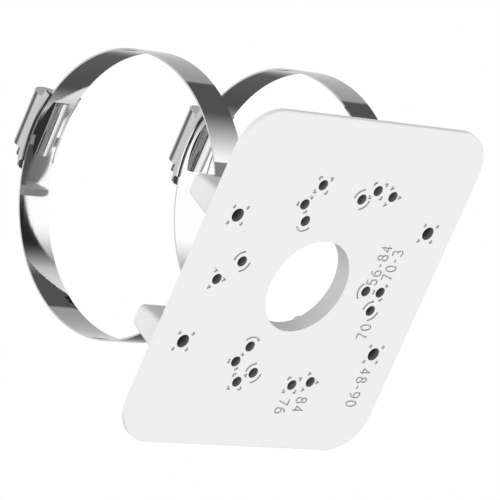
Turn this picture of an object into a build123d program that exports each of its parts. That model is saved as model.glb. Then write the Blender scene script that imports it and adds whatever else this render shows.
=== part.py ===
"""Camera pole mount bracket: a cast plate with four slotted legs and two worm-drive band clamps.

The pole runs along Z. The plate's front face lies in the plane Y = 0 and looks towards -Y, and the
pole, the legs and the bands are on the +Y side. The origin is the middle of the central bore in the
front face. All sizes are in millimetres.
"""

from build123d import *
import math
import os

# Plate
plate_across = 126.0
plate_along = 114.0
plate_thickness = 2.1
plate_corner_radius = 15.0
plate_edge_chamfer = 0.3

# Bore, holes and the bosses behind them
bore_radius = 17.5
collar_wall = 2.6
boss_depth = 6.4
large_hole_radius = 2.5
small_hole_radius = 2.0
boss_radius = 4.2
large_hole_depth = 10.0
large_hole_spacing_across = 48.0
large_hole_spacing_along = 90.0
small_hole_spacing_across = 76.0
small_hole_spacing_along = 26.0
circle_holes = 3
inner_circle_radius = 28.0
middle_circle_radius = 35.0
outer_circle_radius = 42.0
outer_circle_turn = 180.0
quarter_circle_holes = 4
quarter_circle_turn = 12.0
rib_thickness = 2.0

# Legs that meet the pole
leg_reach = 19.0
leg_spacing_across = 50.0
leg_spacing_along = 71.7
leg_end_thickness = 8.0
leg_end_length = 30.7
leg_flank_draft = 5.9
leg_side_draft = 9.4
leg_corner_round = 2.0
band_slot_length = 17.0
band_slot_play = 0.2

# Bands
band_radius = 49.9
band_thickness = 0.6
band_width = 13.0
band_behind_face = 8.0
lower_band_shift = -1.75
upper_band_shift = 0.0

# Clamp housing, saddle and worm screw
housing_width = 15.0
housing_wall_height = 2.2
housing_sheet = 1.0
housing_arc = 30.0
lip_thickness = 0.25
lip_cover = 0.2
lip_bend_radius = 1.0
lip_bend_steps = 3
barrel_radius = 6.65
barrel_length = 20.4
barrel_end_wall = 1.3
screw_above_band = 3.9
thread_radius = 3.8
thread_play = 0.3
neck_radius = 2.8
neck_play = 0.1
collar_radius = 4.4
collar_length = 3.7
end_play = 0.1
head_across_flats = 5.0
head_length = 4.2
head_chamfer = 0.3
slot_width = 0.9
slot_depth = 2.4
seam_width = 0.35
seam_depth = 0.4
seam_from_middle = 2.5
seam_start = 2.2
seat_gap = 0.05

# Worked out from the sizes above
ring_centre_y = band_behind_face + band_radius
band_inner_radius = band_radius - band_thickness
screw_axis_y = ring_centre_y + band_radius + screw_above_band
housing_floor_radius = band_radius + seat_gap
housing_wall_radius = housing_floor_radius + housing_wall_height
lip_outer_radius = band_inner_radius - seat_gap
lip_inner_radius = lip_outer_radius - lip_thickness
thread_bore_radius = thread_radius + thread_play
leg_height = leg_reach - plate_thickness
leg_base_thickness = leg_end_thickness + 2 * leg_height * math.tan(math.radians(leg_flank_draft))
leg_base_length = leg_end_length + 2 * leg_height * math.tan(math.radians(leg_side_draft))
band_middles = {
    "lower": -leg_spacing_along / 2 + lower_band_shift,
    "upper": leg_spacing_along / 2 + upper_band_shift,
}
leg_places = [(across * leg_spacing_across / 2, plate_thickness, along * leg_spacing_along / 2)
              for across in (-1, 1) for along in (-1, 1)]

# Sketches on this plane have local x along the pole (Z) and local y across it (X).
face_plane = Plane(origin=(0, 0, 0), x_dir=(0, 0, 1), z_dir=(0, 1, 0))


def depth_plane(depth):
    """The sketch plane at a depth behind the front face."""
    return face_plane.offset(depth)


def circles_at_small_holes(radius):
    """Draws a circle at every place of a small hole, in the sketch that is open."""
    with GridLocations(small_hole_spacing_along, small_hole_spacing_across, 2, 2):
        Circle(radius)
    with PolarLocations(inner_circle_radius, circle_holes):
        Circle(radius)
    with PolarLocations(middle_circle_radius, circle_holes):
        Circle(radius)
    with PolarLocations(outer_circle_radius, circle_holes, start_angle=outer_circle_turn):
        Circle(radius)
    with PolarLocations(middle_circle_radius, quarter_circle_holes,
                        start_angle=quarter_circle_turn):
        Circle(radius)


def rib_lines():
    """The ribs behind the plate, each as a start and an end in the sketch plane."""
    along = leg_spacing_along / 2
    across = leg_spacing_across / 2
    lines = []
    for side in (-1, 1):
        lines.append(((-along, side * across), (along, side * across)))
        lines.append(((side * along, -across), (side * along, across)))
        for end in (-1, 1):
            lines.append(((0, 0), (end * along, side * across)))
            lines.append(((0, 0), (end * small_hole_spacing_along / 2,
                                   side * small_hole_spacing_across / 2)))
    return lines


# One leg, standing on the plate's back. It narrows towards the pole on all four sides.
with BuildPart() as leg:
    with BuildSketch(Plane.XY.offset(-leg_base_length / 2)):
        Trapezoid(leg_base_thickness, leg_height, 90 - leg_flank_draft,
                  align=(Align.CENTER, Align.MIN))
    extrude(amount=leg_base_length)
    with BuildSketch(Plane(origin=(leg_base_thickness / 2, 0, 0), x_dir=(0, 0, 1),
                           z_dir=(-1, 0, 0))):
        Trapezoid(leg_base_length, leg_height, 90 - leg_side_draft,
                  align=(Align.CENTER, Align.MIN))
    extrude(amount=leg_base_thickness, mode=Mode.INTERSECT)
    corner_edges = leg.edges().filter_by(lambda edge: leg_height < edge.length < leg_reach)
    fillet(corner_edges, radius=leg_corner_round)

# Mounting plate
with BuildPart() as mounting_plate:
    with BuildSketch(face_plane):
        RectangleRounded(plate_along, plate_across, plate_corner_radius)
    extrude(amount=plate_thickness)
    front_edges = mounting_plate.faces().sort_by(Axis.Y)[0].outer_wire().edges()
    chamfer(front_edges, length=plate_edge_chamfer)

    with Locations(*leg_places):
        add(leg.part)

    with BuildSketch(depth_plane(plate_thickness)):
        Circle(bore_radius + collar_wall)
        circles_at_small_holes(boss_radius)
        # One long boss for each pair of holes on the inner and the middle circle
        with PolarLocations((inner_circle_radius + middle_circle_radius) / 2, circle_holes):
            SlotCenterToCenter(middle_circle_radius - inner_circle_radius, 2 * boss_radius)
        for start, end in rib_lines():
            with BuildLine():
                Line(start, end)
            trace(line_width=rib_thickness)
    extrude(amount=boss_depth - plate_thickness)

    with BuildSketch(face_plane):
        Circle(bore_radius)
    extrude(amount=boss_depth, mode=Mode.SUBTRACT)
    with BuildSketch(face_plane):
        circles_at_small_holes(small_hole_radius)
    extrude(amount=boss_depth, mode=Mode.SUBTRACT)
    with BuildSketch(face_plane):
        with GridLocations(large_hole_spacing_along, large_hole_spacing_across, 2, 2):
            Circle(large_hole_radius)
    extrude(amount=large_hole_depth, mode=Mode.SUBTRACT)

    for side in (-1, 1):
        slot_bottom = side * leg_spacing_along / 2 - band_slot_length / 2
        with BuildSketch(Plane.XY.offset(slot_bottom)):
            with Locations((0, ring_centre_y)):
                Circle(band_radius + band_slot_play)
                Circle(band_inner_radius - band_slot_play, mode=Mode.SUBTRACT)
        extrude(amount=band_slot_length, mode=Mode.SUBTRACT)
mounting_plate.part.label = "mounting_plate"


def band(middle):
    """A ring of flat strip round the pole."""
    with BuildPart() as strip:
        with BuildSketch(Plane.XY.offset(middle - band_width / 2)):
            with Locations((0, ring_centre_y)):
                Circle(band_radius)
                Circle(band_inner_radius, mode=Mode.SUBTRACT)
        extrude(amount=band_width)
    return strip


def clamp_plane(middle, x):
    """The plane across the worm screw at a place along it, with its middle on the screw's axis."""
    return Plane(origin=(x, screw_axis_y, middle), x_dir=(0, 0, 1), z_dir=(1, 0, 0))


def channel_profile():
    """Half of the channel's section, as points of distance from the ring's middle and height.

    It runs from the floor's middle over the wall and round the lip that folds under the band.
    """
    side = housing_width / 2
    slot_side = band_width / 2 + seat_gap
    lip_edge = band_width / 2 - lip_cover
    bend = []
    for step in range(lip_bend_steps + 1):
        angle = math.radians(90 * step / lip_bend_steps)
        bend.append((lip_inner_radius + lip_bend_radius * (1 - math.sin(angle)),
                     side - lip_bend_radius * (1 - math.cos(angle))))
    return [
        (housing_floor_radius + housing_sheet, 0),
        (housing_floor_radius + housing_sheet, side - housing_sheet),
        (housing_wall_radius, side - housing_sheet),
        (housing_wall_radius, side),
        *bend,
        (lip_inner_radius, lip_edge),
        (lip_outer_radius, lip_edge),
        (lip_outer_radius, slot_side),
        (housing_floor_radius, slot_side),
        (housing_floor_radius, 0),
    ]


def housing(middle):
    """The channel that holds the band between its lips, with the barrel for the worm screw."""
    half = barrel_length / 2
    start = math.radians(90 + housing_arc / 2)
    with BuildPart() as shell:
        with BuildSketch(clamp_plane(middle, -half)):
            Circle(barrel_radius)
        extrude(amount=barrel_length)
        with BuildSketch(Plane.XY.offset(middle - barrel_radius)):
            with Locations((0, ring_centre_y)):
                Circle(housing_floor_radius)
        extrude(amount=2 * barrel_radius, mode=Mode.SUBTRACT)

        profile_plane = Plane(origin=(0, ring_centre_y, middle),
                              x_dir=(math.cos(start), math.sin(start), 0),
                              z_dir=(math.sin(start), -math.cos(start), 0))
        with BuildSketch(profile_plane):
            with BuildLine() as outline:
                Polyline(*channel_profile())
                mirror(outline.line, about=Plane.XZ)
            make_face()
        revolve(axis=Axis((0, ring_centre_y, middle), (0, 0, -1)), revolution_arc=housing_arc)

        with BuildSketch(clamp_plane(middle, -half + barrel_end_wall)):
            Circle(thread_bore_radius)
        extrude(amount=barrel_length - 2 * barrel_end_wall, mode=Mode.SUBTRACT)
        with BuildSketch(clamp_plane(middle, 0)):
            Circle(neck_radius + neck_play)
        extrude(amount=half, mode=Mode.SUBTRACT)
        with BuildSketch(clamp_plane(middle, half)):
            Circle(collar_radius + thread_play)
        extrude(amount=barrel_length, mode=Mode.SUBTRACT)
    return shell


def saddle(middle):
    """The rolled saddle inside the band, under the barrel, with the seam of its sheet."""
    half = barrel_length / 2
    with BuildPart() as base:
        with BuildSketch(clamp_plane(middle, -half)):
            Circle(barrel_radius)
        extrude(amount=barrel_length)
        with BuildSketch(Plane.XY.offset(middle - barrel_radius)):
            with Locations((0, ring_centre_y)):
                Circle(band_inner_radius - seat_gap)
        extrude(amount=2 * barrel_radius, mode=Mode.INTERSECT)
        with BuildSketch(clamp_plane(middle, seam_start)):
            with Locations((-seam_from_middle, -barrel_radius)):
                Rectangle(seam_width, 2 * (seam_depth + barrel_radius
                                           - math.sqrt(barrel_radius**2 - seam_from_middle**2)))
        extrude(amount=barrel_length, mode=Mode.SUBTRACT)
    return base


def worm_screw(middle):
    """The worm screw: thread, neck, collar and a slotted hexagon head."""
    half = barrel_length / 2
    thread_end = half - barrel_end_wall - end_play
    collar_start = half + end_play
    head_start = collar_start + collar_length
    head_end = head_start + head_length
    with BuildPart() as screw:
        with BuildSketch(clamp_plane(middle, -half + barrel_end_wall + end_play)):
            Circle(thread_radius)
        extrude(amount=2 * thread_end)
        with BuildSketch(clamp_plane(middle, thread_end)):
            Circle(neck_radius)
        extrude(amount=collar_start - thread_end)
        with BuildSketch(clamp_plane(middle, collar_start)):
            Circle(collar_radius)
        extrude(amount=collar_length)
        with BuildSketch(clamp_plane(middle, head_start)):
            RegularPolygon(head_across_flats / 2, 6, major_radius=False)
        extrude(amount=head_length)
        end_face = screw.faces().sort_by(Axis.X)[-1]
        chamfer(end_face.edges(), length=head_chamfer)
        with BuildSketch(clamp_plane(middle, head_end - slot_depth)):
            Rectangle(2 * head_across_flats, slot_width)
        extrude(amount=slot_depth, mode=Mode.SUBTRACT)
    return screw


os.makedirs("parts", exist_ok=True)
export_step(mounting_plate.part, "parts/mounting_plate.step")
makers = {"band": band, "housing": housing, "saddle": saddle, "worm_screw": worm_screw}
for place, middle in band_middles.items():
    for name, make in makers.items():
        piece = make(middle)
        piece.part.label = f"{place}_{name}"
        export_step(piece.part, f"parts/{piece.part.label}.step")
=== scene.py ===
"""Camera pole mount bracket: its finishes, the marks beside its holes, its camera and its light.

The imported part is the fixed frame, in metres: the pole runs along Z, and the plate's front looks
to -Y. Marks are drawn in plate coordinates, in millimetres: u along the pole (Z) and v across it
(-X), as the photograph shows the front, with u to the right and v up.
"""

import math

import bmesh
import bpy
import numpy as np
from mathutils import Matrix, Vector


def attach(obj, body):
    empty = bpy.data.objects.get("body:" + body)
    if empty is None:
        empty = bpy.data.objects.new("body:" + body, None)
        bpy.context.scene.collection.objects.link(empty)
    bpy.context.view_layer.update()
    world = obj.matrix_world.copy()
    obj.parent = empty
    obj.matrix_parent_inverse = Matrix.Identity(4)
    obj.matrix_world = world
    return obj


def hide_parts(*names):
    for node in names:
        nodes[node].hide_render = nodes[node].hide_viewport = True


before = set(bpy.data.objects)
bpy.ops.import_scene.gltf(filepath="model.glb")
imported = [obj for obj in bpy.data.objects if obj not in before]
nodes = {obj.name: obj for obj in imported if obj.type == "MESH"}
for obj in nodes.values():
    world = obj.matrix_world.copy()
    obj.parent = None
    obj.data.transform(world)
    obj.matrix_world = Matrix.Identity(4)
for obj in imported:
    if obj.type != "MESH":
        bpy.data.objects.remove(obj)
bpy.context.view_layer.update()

MM = 0.001

# The camera, from below and to the left of the plate
CAMERA_PLACE = (-0.46419, -0.93564, -1.01985)
CAMERA_RIGHT = (-0.37990, -0.57800, 0.72220)
CAMERA_UP = (-0.86950, 0.48960, -0.06560)
CAMERA_BACK = (-0.31570, -0.65280, -0.68860)
FOCAL_PIXELS = 4324.47
PICTURE_PIXELS = 500
SENSOR_MM = 36.0

# The floor and the lamp
FLOOR_DROP = 2.5
FLOOR_SIZE = 3.0
FLOOR_GREY = 0.80
LAMP_SIDE = Vector((-0.20, -0.68, -0.70)).normalized()
LAMP_DISTANCE = 2.0
LAMP_SIZE = 1.5
LAMP_POWER = 4.0

# The room's light on the pieces, and what the steel mirrors
ROOM_LIGHT = 0.97
MIRRORED_LIGHT = 1.24
CORNER_SIDE = (-0.691, -0.723, 0.0)
LEFT_PATCH = (0.306, 0.917, -0.254)

# The holes, in plate coordinates and millimetres
LARGE_HOLES = [(u, v) for u in (-45.0, 45.0) for v in (-24.0, 24.0)]
RECTANGLE_HOLES = [(u, v) for u in (-13.0, 13.0) for v in (-38.0, 38.0)]
LARGE_RADIUS = 2.5
SMALL_RADIUS = 2.0
# The round patterns: radius, number of holes, and the first hole's angle
INNER_CIRCLE = (28.0, 3, 0.0)
MIDDLE_CIRCLE = (35.0, 3, 0.0)
QUARTER_CIRCLE = (35.0, 4, 78.0)
OUTER_CIRCLE = (42.0, 3, 180.0)

# The linings of the holes, in millimetres
LINING_PLAY = 0.02
LINING_START = 0.1
LARGE_LINING_END = 9.9
SMALL_LINING_END = 6.3
LINING_SIDES = 24

# For the materials: greys, and lengths in metres
COAT_GREY = 0.85
# The bore wall's darker grey is painted shade
BORE_SHADE_GREY = 0.64
BORE_RADIUS = 0.0175
THREAD_PITCH = 0.0007
# The depth over which the tapped walls darken: painted shade
THREAD_SHADE_DEPTH = 0.0045

# Edges of the engraved plate that turn by more than this, in degrees, are sharp
SHARP_TURN = 28
# The share of its width that a mark loses from the face down to its full depth
MARK_TAPER = 0.45
# The engraved marks, in millimetres
MARK_DEPTH = 0.5
MARK_START = -0.3
DOT_RADIUS = 0.75
DOT_PLACE = 3.05
CORNER_START = 1.75
CORNER_PLACE = 2.9
SQUARE = [(2.7, -0.875), (3.7, -0.875), (3.7, 0.875), (2.7, 0.875)]
ARROW = [(-0.85, 1.0), (-0.85, -1.0), (0.95, 0.0)]
ARROW_PLACES = [(3.4, 0.0), (-1.8, 3.15), (-1.8, -3.15)]
ARC_RADIUS = 3.7
ARC_STROKE = 0.8
NUMBER_STROKE = 0.6
NUMBER_HEIGHT = 4.7
# How much the digits are narrowed, and their widths and gap as shares of their height
NUMBER_SLIM = 0.80
DIGIT_WIDTH = 0.56
DASH_WIDTH = 0.32
DIGIT_GAP = 0.29
# Each number: its digits, where it starts on its foot line, and the way it runs, up or down
NUMBERS = [("56-84", (31.3, 2.7), 1), ("70-3", (37.4, 4.9), 1), ("70", (37.9, -18.3), 1),
           ("48-90", (42.4, -29.8), -1), ("84", (18.3, -42.6), -1), ("76", (10.3, -43.6), -1)]


def set_inputs(node, **values):
    """Sets a node's unlinked inputs by name, with underscores for spaces."""
    for name, value in values.items():
        node.inputs[name.replace("_", " ")].default_value = value


def make_camera():
    """A long lens at the photograph's place, aimed by its three directions."""
    data = bpy.data.cameras.new("camera")
    data.sensor_width = SENSOR_MM
    data.lens = FOCAL_PIXELS * SENSOR_MM / PICTURE_PIXELS
    data.clip_end = 20.0
    camera = bpy.data.objects.new("camera", data)
    turn = Matrix((CAMERA_RIGHT, CAMERA_UP, CAMERA_BACK)).transposed().to_4x4()
    camera.matrix_world = Matrix.Translation(CAMERA_PLACE) @ turn
    bpy.context.scene.collection.objects.link(camera)
    bpy.context.scene.camera = camera


def make_floor():
    """A pale floor well under the bracket, which neither lights it nor shows in its steel."""
    material = bpy.data.materials.new("floor_paint")
    material.use_nodes = True
    shader = material.node_tree.nodes["Principled BSDF"]
    set_inputs(shader, Base_Color=(FLOOR_GREY, FLOOR_GREY, FLOOR_GREY, 1.0), Roughness=0.9)
    half = FLOOR_SIZE / 2
    corners = [(-half, -half, -FLOOR_DROP), (half, -half, -FLOOR_DROP),
               (half, half, -FLOOR_DROP), (-half, half, -FLOOR_DROP)]
    mesh = bpy.data.meshes.new("floor")
    mesh.from_pydata(corners, [], [(0, 1, 2, 3)])
    mesh.materials.append(material)
    floor = bpy.data.objects.new("floor", mesh)
    floor.visible_glossy = False
    floor.visible_diffuse = False
    bpy.context.scene.collection.objects.link(floor)


def make_lamp():
    """One large soft lamp before the plate's front and below it."""
    data = bpy.data.lights.new("soft_lamp", "AREA")
    data.shape = "DISK"
    data.size = LAMP_SIZE
    data.energy = LAMP_POWER
    lamp = bpy.data.objects.new("soft_lamp", data)
    lamp.location = LAMP_SIDE * LAMP_DISTANCE
    lamp.rotation_euler = LAMP_SIDE.to_track_quat("Z", "Y").to_euler()
    lamp.visible_glossy = False
    lamp.visible_camera = False
    bpy.context.scene.collection.objects.link(lamp)


class Nodes:
    """Adds nodes to a tree and links them, so that a formula can be written as nested calls."""

    def __init__(self, tree):
        self.tree = tree

    def add(self, kind, **settings):
        node = self.tree.nodes.new(kind)
        for name, value in settings.items():
            setattr(node, name, value)
        return node

    def link(self, source, target):
        self.tree.links.new(source, target)

    def feed(self, node, place, value):
        if isinstance(value, bpy.types.NodeSocket):
            self.link(value, node.inputs[place])
        else:
            node.inputs[place].default_value = value

    def math(self, operation, first, second=0.0):
        node = self.add("ShaderNodeMath", operation=operation)
        self.feed(node, 0, first)
        self.feed(node, 1, second)
        return node.outputs[0]

    def share(self, value, start, end):
        """Rises smoothly from 0 at the start to 1 at the end, which may be the lower of the two."""
        if end < start:
            return self.ramp(value, end, start, 1.0, 0.0)
        return self.ramp(value, start, end, 0.0, 1.0)

    def dot(self, vector, direction):
        node = self.add("ShaderNodeVectorMath", operation="DOT_PRODUCT")
        self.feed(node, 0, vector)
        self.feed(node, 1, direction)
        return node.outputs["Value"]

    def ramp(self, value, start, end, low, high, kind="SMOOTHSTEP"):
        node = self.add("ShaderNodeMapRange", interpolation_type=kind)
        for place, entry in enumerate((value, start, end, low, high)):
            self.feed(node, place, entry)
        return node.outputs["Result"]

    def between(self, share, low, high):
        node = self.add("ShaderNodeMix", data_type="FLOAT")
        for place, entry in zip((0, 2, 3), (share, low, high)):
            self.feed(node, place, entry)
        return node.outputs[0]


def mirrored_areas(n, right, up, back, direction):
    """How bright the steel sees each direction, from its parts along the camera's axes.

    Every share runs from the edge of an area to where the area is full, and the last number of
    the line that lays the area down is its brightness.
    """
    # Paler below than above, and dark underneath
    seen = n.ramp(up, -0.1, 0.65, 0.75, 0.33, "LINEAR")
    underside = n.ramp(right, 0.0, 0.35, 0.112, 0.082, "LINEAR")
    seen = n.between(n.share(up, 0.0, -0.45), seen, underside)
    # A dark corner high on the right, with a sharp upright edge, and a dark patch on the left
    corner = n.math("MULTIPLY", n.share(up, 0.2, 0.5), n.share(right, 0.25, 0.35))
    corner = n.math("MULTIPLY", corner, n.share(n.dot(direction, CORNER_SIDE), -0.022, 0.022))
    seen = n.between(corner, seen, 0.085)
    seen = n.between(n.share(n.dot(direction, LEFT_PATCH), 0.93, 0.985), seen, 0.15)
    # A pale card on the right
    reach = n.math("SUBTRACT", right, n.math("MULTIPLY", up, 0.19))
    card = n.math("POWER", n.ramp(reach, 0.55, 0.90, 0.0, 1.0, "LINEAR"), 1.4)
    seen = n.between(card, seen, 1.05)
    # The dark room behind the camera, with a pale strip at its left end
    behind = n.math("ADD", back, n.math("MULTIPLY", right, 0.03))
    seen = n.between(n.share(behind, 0.245, 0.31), seen, 0.03)
    edge = n.math("SUBTRACT", back, n.math("MULTIPLY", up, 0.4))
    strip = n.math("MULTIPLY", n.share(right, -0.72, -0.88), n.share(edge, 0.385, 0.405))
    return n.between(strip, seen, 1.0)


def mirrored_again(n, seen, right, up, back):
    """What comes back from two mirrors: darker towards the middle, and white from low behind."""
    kept = n.math("ADD", n.math("MULTIPLY", right, right), 0.26)
    below = n.math("MULTIPLY", n.share(back, 0.30, 0.45), n.share(up, -0.20, -0.35))
    return n.between(below, n.math("MULTIPLY", seen, kept), 1.0)


def make_world():
    """A studio: soft light on the pieces, white behind them, and areas for the steel to mirror.

    The light is even on the plate's front, and behind the plate it comes from below (-Z).
    Mirrored rays see mirrored_areas, or mirrored_again from the second mirror on.
    """
    world = bpy.data.worlds.new("room")
    world.use_nodes = True
    bpy.context.scene.world = world
    n = Nodes(world.node_tree)
    background = world.node_tree.nodes["Background"]
    direction = n.add("ShaderNodeTexCoord").outputs["Generated"]
    right = n.dot(direction, CAMERA_RIGHT)
    up = n.dot(direction, CAMERA_UP)
    back = n.dot(direction, CAMERA_BACK)
    seen = mirrored_areas(n, right, up, back, direction)
    again = mirrored_again(n, seen, right, up, back)

    rays = n.add("ShaderNodeLightPath")
    twice = n.math("GREATER_THAN", rays.outputs["Glossy Depth"], 1.5)
    seen = n.between(twice, n.math("MULTIPLY", seen, MIRRORED_LIGHT), again)
    foot = n.dot(direction, (0.0, 0.0, -1.0))
    behind = n.ramp(foot, -0.1, 0.4, 0.03 * ROOM_LIGHT, 1.05 * ROOM_LIGHT)
    front = n.share(n.dot(direction, (0.0, -1.0, 0.0)), -0.3, 0.1)
    even = n.between(front, behind, ROOM_LIGHT)
    light = n.between(rays.outputs["Is Glossy Ray"], even, seen)
    plain = n.math("MAXIMUM", rays.outputs["Is Camera Ray"], rays.outputs["Is Transmission Ray"])
    n.link(n.between(plain, light, 1.0), background.inputs["Strength"])
    set_inputs(background, Color=(1.0, 1.0, 1.0, 1.0))


def fine_grain_group():
    """A shared effect: noise stretched to a grain, put out as a roughness and as a height.

    Roughness = Low + (High - Low) * noise(place * Stretch), and the height is the noise itself.
    """
    tree = bpy.data.node_groups.new("fine_grain", "ShaderNodeTree")
    for name, kind, start in (("Stretch", "NodeSocketVector", (1.0, 1.0, 1.0)),
                              ("Low", "NodeSocketFloat", 0.2), ("High", "NodeSocketFloat", 0.4)):
        socket = tree.interface.new_socket(name=name, in_out="INPUT", socket_type=kind)
        socket.default_value = start
    for name in ("Roughness", "Height"):
        tree.interface.new_socket(name=name, in_out="OUTPUT", socket_type="NodeSocketFloat")
    n = Nodes(tree)
    source = n.add("NodeGroupInput")
    result = n.add("NodeGroupOutput")
    place = n.add("ShaderNodeTexCoord").outputs["Object"]
    stretched = n.add("ShaderNodeVectorMath", operation="MULTIPLY")
    n.link(place, stretched.inputs[0])
    n.link(source.outputs["Stretch"], stretched.inputs[1])
    noise = n.add("ShaderNodeTexNoise")
    set_inputs(noise, Scale=1.0, Detail=3.0, Roughness=0.55)
    n.link(stretched.outputs[0], noise.inputs["Vector"])
    value = noise.outputs["Fac"]
    roughness = n.between(value, source.outputs["Low"], source.outputs["High"])
    n.link(roughness, result.inputs["Roughness"])
    n.link(value, result.inputs["Height"])
    return tree


fine_grain = fine_grain_group()


def finish(name, grey, metallic, stretch, low, high, bump):
    """A grey material with the shared grain in its roughness and in a slight bump."""
    material = bpy.data.materials.new(name)
    material.use_nodes = True
    n = Nodes(material.node_tree)
    shader = material.node_tree.nodes["Principled BSDF"]
    set_inputs(shader, Base_Color=(grey, grey, grey, 1.0), Metallic=metallic)
    grain = n.add("ShaderNodeGroup")
    grain.node_tree = fine_grain
    set_inputs(grain, Stretch=stretch, Low=low, High=high)
    n.link(grain.outputs["Roughness"], shader.inputs["Roughness"])
    relief = n.add("ShaderNodeBump")
    set_inputs(relief, Strength=1.0, Distance=bump)
    n.link(grain.outputs["Height"], relief.inputs["Height"])
    n.link(relief.outputs["Normal"], shader.inputs["Normal"])
    return material


def paint_bore_shade(material):
    """Paints shade on the bore's wall, which lies at the bore's radius from the Y axis: a darker
    grey there stands in for the shade in the bore.
    """
    n = Nodes(material.node_tree)
    flat = n.add("ShaderNodeVectorMath", operation="MULTIPLY")
    n.link(n.add("ShaderNodeTexCoord").outputs["Object"], flat.inputs[0])
    flat.inputs[1].default_value = (1.0, 0.0, 1.0)
    radius = n.add("ShaderNodeVectorMath", operation="LENGTH")
    n.link(flat.outputs[0], radius.inputs[0])
    start = BORE_RADIUS + 0.00001
    # A darker grey on the bore's wall only: painted shade
    grey = n.ramp(radius.outputs["Value"], start, start + 0.00005, BORE_SHADE_GREY, COAT_GREY)
    n.link(grey, material.node_tree.nodes["Principled BSDF"].inputs["Base Color"])


def tapped_wall_with_shade():
    """The wall of a tapped hole: dark grey, with painted shade that grows darker with depth, and
    the rings of its thread as a bump.
    """
    material = bpy.data.materials.new("tapped_wall")
    material.use_nodes = True
    n = Nodes(material.node_tree)
    shader = material.node_tree.nodes["Principled BSDF"]
    parts = n.add("ShaderNodeSeparateXYZ")
    n.link(n.add("ShaderNodeTexCoord").outputs["Object"], parts.inputs[0])
    depth = parts.outputs["Y"]
    # Painted shade: the wall's grey falls with depth into the hole
    grey = n.ramp(depth, 0.0, THREAD_SHADE_DEPTH, 0.28, 0.03, "LINEAR")
    n.link(grey, shader.inputs["Base Color"])
    set_inputs(shader, Roughness=0.5)
    relief = n.add("ShaderNodeBump")
    set_inputs(relief, Strength=0.6, Distance=0.0002)
    turn = n.math("MULTIPLY", depth, 2 * math.pi / THREAD_PITCH)
    n.link(n.math("SINE", turn), relief.inputs["Height"])
    n.link(relief.outputs["Normal"], shader.inputs["Normal"])
    return material


def taper(depth):
    """A mark's width at a depth, as a share of its width at the face.

    The share is 1 - MARK_TAPER * depth / MARK_DEPTH.
    """
    return 1.0 - MARK_TAPER * depth / MARK_DEPTH


def prism(outline, vertices, faces, walls):
    """Adds a prism over a convex outline of (u, v) points, tapered towards its middle."""
    start = len(vertices)
    count = len(outline)
    middle = np.mean(outline, axis=0)
    for depth in (MARK_START, MARK_DEPTH):
        ring = middle + (np.array(outline) - middle) * taper(depth)
        vertices.extend((-v, depth, u) for u, v in ring)
    faces.append([start + i for i in range(count)])
    faces.append([start + count + i for i in reversed(range(count))])
    walls.extend([0, 0] + [1] * count)
    for i in range(count):
        j = (i + 1) % count
        faces.append([start + j, start + i, start + count + i, start + count + j])


def groove(points, width, vertices, faces, walls, closed=False):
    """Adds a tapered strip along (u, v) points, mitred at its corners.

    At each point the strip's edges lie at width / 2 / cos(half the turn) along the mean normal.
    """
    line = np.array(points, float)
    count = len(line)
    steps = np.roll(line, -1, 0) - line if closed else np.diff(line, axis=0)
    steps /= np.linalg.norm(steps, axis=1)[:, None]
    normals = np.c_[-steps[:, 1], steps[:, 0]]
    if closed:
        before, after = np.roll(normals, 1, 0), normals
    else:
        before, after = np.vstack([normals[:1], normals]), np.vstack([normals, normals[-1:]])
    mean = before + after
    mean /= np.linalg.norm(mean, axis=1)[:, None]
    reach = width / 2 / np.maximum((mean * after).sum(1), 0.4)
    edges = mean * reach[:, None]
    start = len(vertices)
    for i in range(count):
        for side in (1.0, -1.0):
            for depth in (MARK_START, MARK_DEPTH):
                u, v = line[i] + edges[i] * side * taper(depth)
                vertices.append((-v, depth, u))
    spans = [(i, (i + 1) % count) for i in range(count if closed else count - 1)]
    for i, j in spans:
        a, b = start + 4 * i, start + 4 * j
        faces.append([a, a + 2, b + 2, b])
        faces.append([a + 1, b + 1, b + 3, a + 3])
        faces.append([a, b, b + 1, a + 1])
        faces.append([a + 2, a + 3, b + 3, b + 2])
        walls.extend([0, 0, 1, 1])
    if not closed:
        a, b = start, start + 4 * (count - 1)
        faces.append([a, a + 1, a + 3, a + 2])
        faces.append([b, b + 2, b + 3, b + 1])
        walls.extend([1, 1])


def arc(middle, radii, start, end, count):
    """Points on an arc, with angles in degrees."""
    return [(middle[0] + radii[0] * math.cos(a), middle[1] + radii[1] * math.sin(a))
            for a in np.radians(np.linspace(start, end, count))]


def digit_lines(digit):
    """The strokes of a digit of height 1, each as (points, whether it is closed), and its width."""
    middle = DIGIT_WIDTH / 2
    lines = {
        "0": [(arc((middle, 0.5), (middle, 0.5), 0, 345, 24), True)],
        "1": [([(0.05, 0.78), (middle, 1.0), (middle, 0.0)], False)],
        "2": [(arc((middle, 0.72), (middle, 0.28), 165, -35, 12)
               + [(0.0, 0.0), (DIGIT_WIDTH, 0.0)], False)],
        "3": [(arc((0.25, 0.76), (0.25, 0.24), 150, -80, 12), False),
              (arc((0.26, 0.27), (0.28, 0.27), 80, -150, 12), False)],
        "4": [([(0.40, 0.0), (0.40, 1.0), (0.0, 0.30), (DIGIT_WIDTH, 0.30)], False)],
        "5": [([(0.50, 1.0), (0.10, 1.0)]
               + arc((0.26, 0.31), (0.28, 0.31), 130, -150, 14), False)],
        "6": [(arc((middle, 0.30), (middle, 0.30), 0, 340, 18), True),
              (arc((0.50, 0.34), (0.50, 0.66), 95, 170, 8), False)],
        "7": [([(0.0, 1.0), (DIGIT_WIDTH, 1.0), (0.18, 0.0)], False)],
        "8": [(arc((middle, 0.77), (0.23, 0.23), 0, 340, 18), True),
              (arc((middle, 0.27), (middle, 0.27), 0, 340, 18), True)],
        "9": [(arc((middle, 0.70), (middle, 0.30), 0, 340, 18), True),
              (arc((0.06, 0.66), (0.50, 0.66), -85, -10, 8), False)],
        "-": [([(0.0, 0.42), (DASH_WIDTH, 0.42)], False)],
    }
    return lines[digit], DASH_WIDTH if digit == "-" else DIGIT_WIDTH


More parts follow.
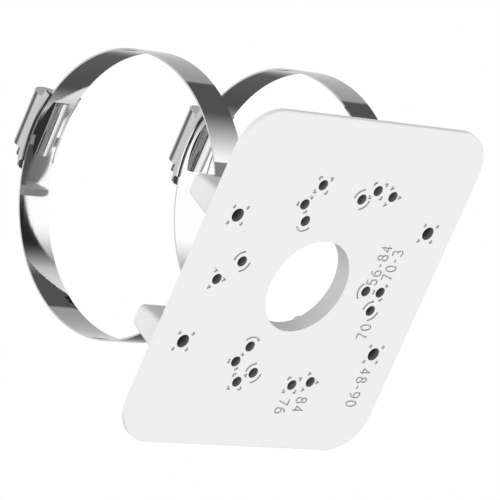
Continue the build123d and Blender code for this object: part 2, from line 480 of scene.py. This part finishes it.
def turned(points, angle, place):
    """Points turned by an angle in degrees and then moved to a place."""
    c, s = math.cos(math.radians(angle)), math.sin(math.radians(angle))
    return [(place[0] + c * a - s * b, place[1] + s * a + c * b) for a, b in points]


def round_places(radius, count, start):
    """The places of a circle's holes."""
    angles = [math.radians(start + 360.0 * i / count) for i in range(count)]
    return [(radius * math.cos(a), radius * math.sin(a)) for a in angles]


def mark_shapes():
    """All the marks as solid cutters through the front face: vertices, faces, and 1 for walls,
    which get a darker grey as painted shade.
    """
    vertices, faces, walls = [], [], []
    shape = (vertices, faces, walls)
    corners = [(a, b) for a in (-1, 1) for b in (-1, 1)]
    for u, v in LARGE_HOLES:
        for a, b in corners:
            middle = (u + DOT_PLACE * a, v + DOT_PLACE * b)
            prism(arc(middle, (DOT_RADIUS, DOT_RADIUS), 0, 337.5, 16), *shape)
    for u, v in RECTANGLE_HOLES:
        for a, b in corners:
            bracket = [(u + CORNER_START * a, v + CORNER_PLACE * b),
                       (u + CORNER_PLACE * a, v + CORNER_PLACE * b),
                       (u + CORNER_PLACE * a, v + CORNER_START * b)]
            groove(bracket, ARC_STROKE, *shape)
    for place in round_places(*MIDDLE_CIRCLE):
        for side in (180.0, 60.0, -60.0):
            prism(turned(SQUARE, side, place), *shape)
    # One arc at each inner hole, and two at each hole of the quarter circle
    arcs = [(place, middle, 52, 16)
            for place, middle in zip(round_places(*INNER_CIRCLE), (180.0, -90.0, 90.0))]
    arcs += [(place, middle, 41, 14)
             for place in round_places(*QUARTER_CIRCLE) for middle in (135.0, -45.0)]
    for place, middle, reach, count in arcs:
        line = arc(place, (ARC_RADIUS, ARC_RADIUS), middle - reach, middle + reach, count)
        groove(line, ARC_STROKE, *shape)
    for place in round_places(*OUTER_CIRCLE):
        for u, v in ARROW_PLACES:
            prism(turned(ARROW, 0.0, (place[0] + u, place[1] + v)), *shape)
    for digits, foot, way in NUMBERS:
        reach = 0.0
        for digit in digits:
            lines, width = digit_lines(digit)
            for points, closed in lines:
                drawn = [((reach + x * NUMBER_SLIM) * NUMBER_HEIGHT, y * NUMBER_HEIGHT)
                         for x, y in points]
                groove(turned(drawn, 90.0 * way, foot), NUMBER_STROKE, *shape, closed)
            reach += width * NUMBER_SLIM + DIGIT_GAP
    return shape


def hole_linings():
    """The tapped walls of the screw holes: a tube in each, from near the face to the hole's end.

    Tubes have the hole's radius less LINING_PLAY and face their axis:
    P(a, depth) = (u + r cos a, v + r sin a, depth).
    """
    small = list(RECTANGLE_HOLES)
    for circle in (INNER_CIRCLE, MIDDLE_CIRCLE, QUARTER_CIRCLE, OUTER_CIRCLE):
        small.extend(round_places(*circle))
    holes = [(place, LARGE_RADIUS, LARGE_LINING_END) for place in LARGE_HOLES]
    holes.extend((place, SMALL_RADIUS, SMALL_LINING_END) for place in small)
    sides = LINING_SIDES
    vertices, faces = [], []
    for place, radius, end in holes:
        start = len(vertices)
        radii = (radius - LINING_PLAY, radius - LINING_PLAY)
        ring = arc(place, radii, 0, 360.0 * (sides - 1) / sides, sides)
        for depth in (LINING_START, end):
            vertices.extend((-b * MM, depth * MM, a * MM) for a, b in ring)
        for i in range(sides):
            j = (i + 1) % sides
            faces.append((start + i, start + j, start + sides + j, start + sides + i))
    mesh = bpy.data.meshes.new("hole_linings")
    mesh.from_pydata(vertices, [], faces)
    mesh.shade_smooth()
    mesh.materials.append(tapped_wall)
    linings = bpy.data.objects.new("hole_linings", mesh)
    bpy.context.scene.collection.objects.link(linings)
    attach(linings, "root")


def engraved_plate():
    """The casting with its marks cut in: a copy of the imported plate, which it stands for."""
    source = nodes["mounting_plate"]
    plate = bpy.data.objects.new("engraved_plate", source.data.copy())
    bpy.context.scene.collection.objects.link(plate)
    mesh = bmesh.new()
    mesh.from_mesh(plate.data)
    bmesh.ops.remove_doubles(mesh, verts=mesh.verts, dist=1e-7)
    mesh.to_mesh(plate.data)
    mesh.free()
    for attribute in [a for a in plate.data.attributes if a.name == "custom_normal"]:
        plate.data.attributes.remove(attribute)

    vertices, faces, walls = mark_shapes()
    cutter_mesh = bpy.data.meshes.new("mark_cutter")
    cutter_mesh.from_pydata([tuple(MM * c for c in point) for point in vertices], [], faces)
    cutter = bpy.data.objects.new("mark_cutter", cutter_mesh)
    bpy.context.scene.collection.objects.link(cutter)
    for mesh in (plate.data, cutter_mesh):
        mesh.materials.clear()
        mesh.materials.append(white_coat)
        mesh.materials.append(shaded_mark_wall)
    # The cutter's wall faces carry the marks' painted shade, a darker grey, into the plate
    cutter_mesh.polygons.foreach_set("material_index", walls)
    mesh = bmesh.new()
    mesh.from_mesh(cutter_mesh)
    bmesh.ops.recalc_face_normals(mesh, faces=mesh.faces)
    mesh.to_mesh(cutter_mesh)
    mesh.free()

    cut = plate.modifiers.new("marks", "BOOLEAN")
    cut.operation = "DIFFERENCE"
    cut.solver = "EXACT"
    cut.use_self = True
    cut.object = cutter
    bpy.context.view_layer.update()
    evaluated = plate.evaluated_get(bpy.context.evaluated_depsgraph_get())
    result = bpy.data.meshes.new_from_object(evaluated)
    plate.modifiers.clear()
    plate.data = result
    bpy.data.objects.remove(cutter)
    result.shade_smooth()
    result.set_sharp_from_angle(angle=math.radians(SHARP_TURN))
    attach(plate, "root")
    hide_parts("mounting_plate")


white_coat = finish("white_powder_coat", COAT_GREY, 0.0,
                    (700.0, 700.0, 700.0), 0.38, 0.55, 0.00001)
# The bore's wall gets painted shade: a darker grey there
paint_bore_shade(white_coat)
# The marks' walls: a darker grey as painted shade in the engraved recesses
shaded_mark_wall = finish("shaded_mark_wall", 0.40, 0.0,
                   (900.0, 900.0, 900.0), 0.5, 0.7, 0.00001)
band_steel = finish("polished_band_steel", 0.75, 1.0,
                    (20.0, 20.0, 1500.0), 0.02, 0.06, 0.000002)
housing_steel = finish("pressed_steel", 0.72, 1.0,
                       (300.0, 300.0, 300.0), 0.03, 0.07, 0.0000005)
screw_steel = finish("screw_steel", 0.66, 1.0,
                     (900.0, 400.0, 400.0), 0.12, 0.22, 0.000004)
tapped_wall = tapped_wall_with_shade()

hole_linings()
engraved_plate()
finishes = {"plate": white_coat, "band": band_steel, "housing": housing_steel,
            "saddle": housing_steel, "screw": screw_steel}
for name, node in nodes.items():
    for place in node.material_slots:
        place.material = finishes[name.split("_")[-1]]

make_camera()
make_floor()
make_lamp()
make_world()

bpy.context.scene.view_settings.view_transform = "Standard"
